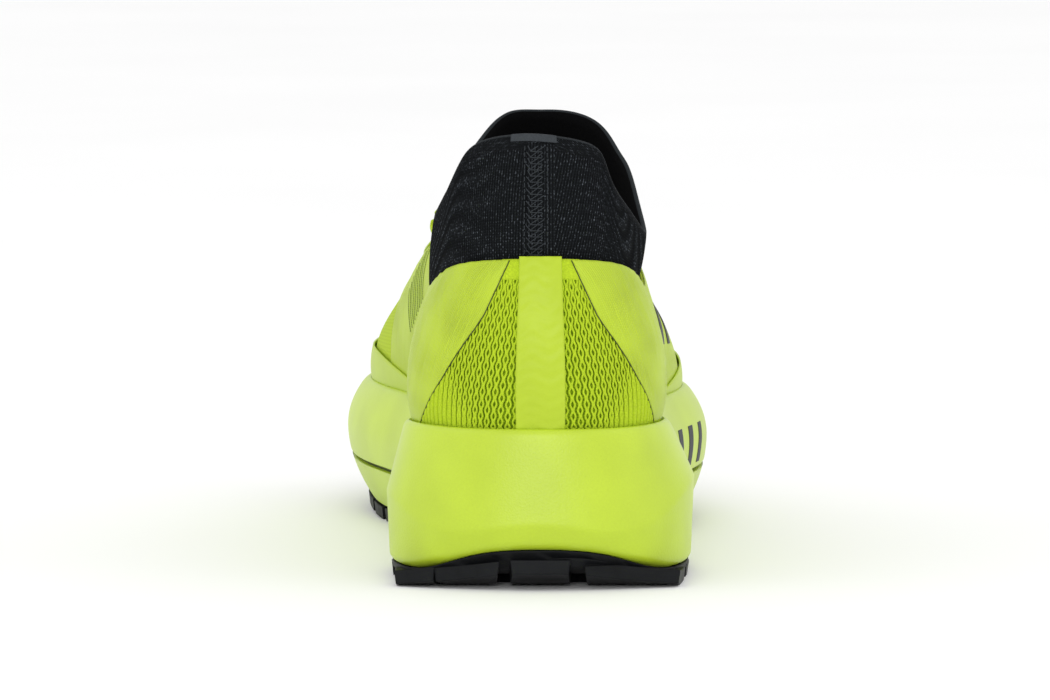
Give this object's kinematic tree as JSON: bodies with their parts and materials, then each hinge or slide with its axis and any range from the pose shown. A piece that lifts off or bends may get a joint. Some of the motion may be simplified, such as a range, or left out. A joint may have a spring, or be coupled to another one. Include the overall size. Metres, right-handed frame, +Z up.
{
  "type": "running shoe",
  "caption": "Right trail running shoe with a thick foam midsole, lugged rubber outsole, welded mesh upper, laces and a knit ankle collar",
  "frame": {"origin": "on the ground under the middle of the shoe's outline", "axes": "+Y along the shoe to the toe, +Z up, +X to the shoe's outer (right) side"},
  "size_m": [0.1151, 0.2994, 0.1361],
  "materials": {
    "foam": "fine-grained moulded closed-cell foam, satin",
    "foam_lower": "fine-grained moulded closed-cell foam, satin",
    "rubber": "moulded rubber, matt",
    "plate": "glass-fibre filled moulded plate, satin",
    "mesh": "open jacquard mesh, matt",
    "mesh_front": "engineered mesh, matt",
    "film": "welded ribbed film over textile, satin",
    "trim": "smooth welded film, satin",
    "knit": "ribbed elastic knit, matt",
    "seam_thread": "flat coverstitch thread, matt",
    "webbing": "woven tape, matt",
    "lace": "round braided polyester, matt",
    "aglet": "clear film sleeve over dark braid, glossy",
    "print": "screen-printed ink, matt",
    "lining": "brushed textile lining, matt",
    "counter": "thermoformed stiffener sheet, matt",
    "board": "needled strobel felt, matt",
    "sock_foam": "open-cell moulded foam, matt",
    "sock_cover": "knit top cloth, matt"
  },
  "bodies": {
    "shoe": {"outsole_heel": "rubber", "outsole_midfoot": "rubber", "outsole_forefoot": "rubber", "midsole_top": "foam", "midsole_bottom": "foam_lower", "plate_lateral": "plate", "plate_medial": "plate", "strobel_board": "board", "heel_counter": "counter", "heel_lining": "lining", "vamp_lining": "lining", "heel_mesh_lateral": "mesh", "heel_mesh_medial": "mesh", "quarter_shell_lateral": "mesh_front", "quarter_shell_medial": "mesh_front", "vamp_shell": "mesh_front", "quarter_overlay_lateral": "film", "quarter_overlay_medial": "film", "heel_backstay": "trim", "toe_cap": "trim", "mudguard_lateral": "trim", "mudguard_medial": "trim", "eyestay_lateral": "trim", "eyestay_medial": "trim", "knit_collar": "knit", "tongue": "knit", "collar_seam_tape": "seam_thread", "collar_top_tape": "seam_thread", "lace_loops_lateral": "webbing", "lace_loops_medial": "webbing", "lace": "lace", "aglets": "aglet", "side_print_lateral": "print"},
    "liner": {"sockliner": "sock_foam", "sockliner_cover": "sock_cover"}
  },
  "joints": [
    {"name": "sockliner_peel", "type": "hinge", "parent": "shoe", "child": "liner", "pos_m": [-0.0075, 0.1365, 0.0362], "axis": [-1, 0, 0], "range_deg": [0, 4]}
  ]
}
